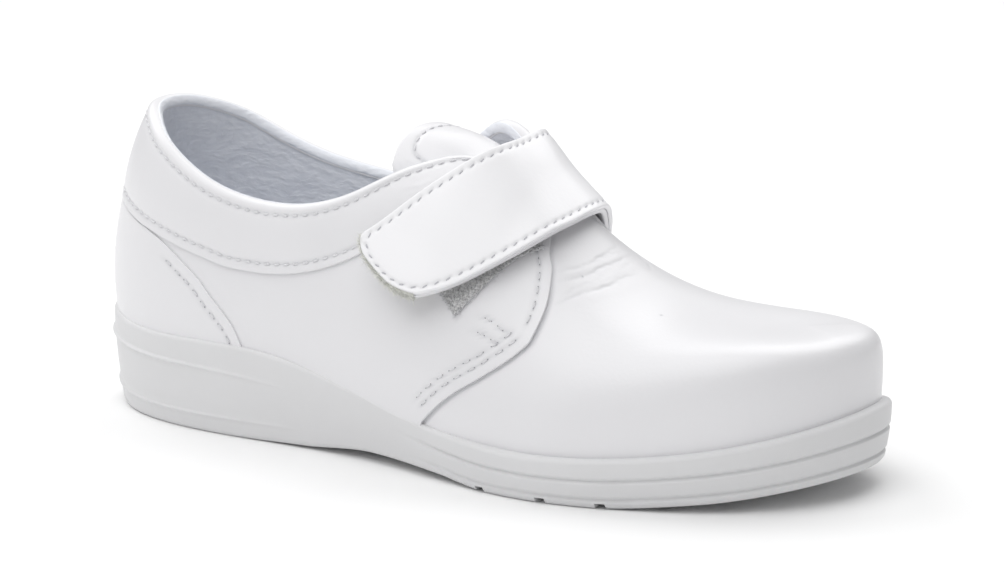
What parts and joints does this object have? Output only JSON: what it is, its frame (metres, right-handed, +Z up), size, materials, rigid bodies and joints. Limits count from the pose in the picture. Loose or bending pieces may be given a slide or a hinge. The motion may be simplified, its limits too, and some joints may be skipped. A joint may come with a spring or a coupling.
{
  "type": "nursing clog",
  "caption": "White leather slip-on work shoe for the right foot with a thick moulded sole, a low collar and a hook-and-loop strap over the instep.",
  "frame": {"origin": "middle of the sole's outline, on the floor that the empty shoe stands on", "axes": "+X towards the toe, +Y towards the inner side of the foot, +Z up"},
  "size_m": [0.2643, 0.0982, 0.0976],
  "materials": {
    "sole": "matt white moulded polyurethane",
    "upper": "white smooth coated leather, satin",
    "insole": "pale bluish grey textile",
    "tongue": "white smooth coated leather, satin",
    "strap": "white smooth coated leather, two layers stitched together",
    "hook_patch": "off-white hook tape",
    "loop_patch": "pale grey loop tape"
  },
  "bodies": {
    "root": {"sole": "sole", "upper": "upper", "insole": "insole", "tongue": "tongue", "strap": "strap", "hook_patch": "hook_patch", "loop_patch": "loop_patch"}
  },
  "joints": []
}
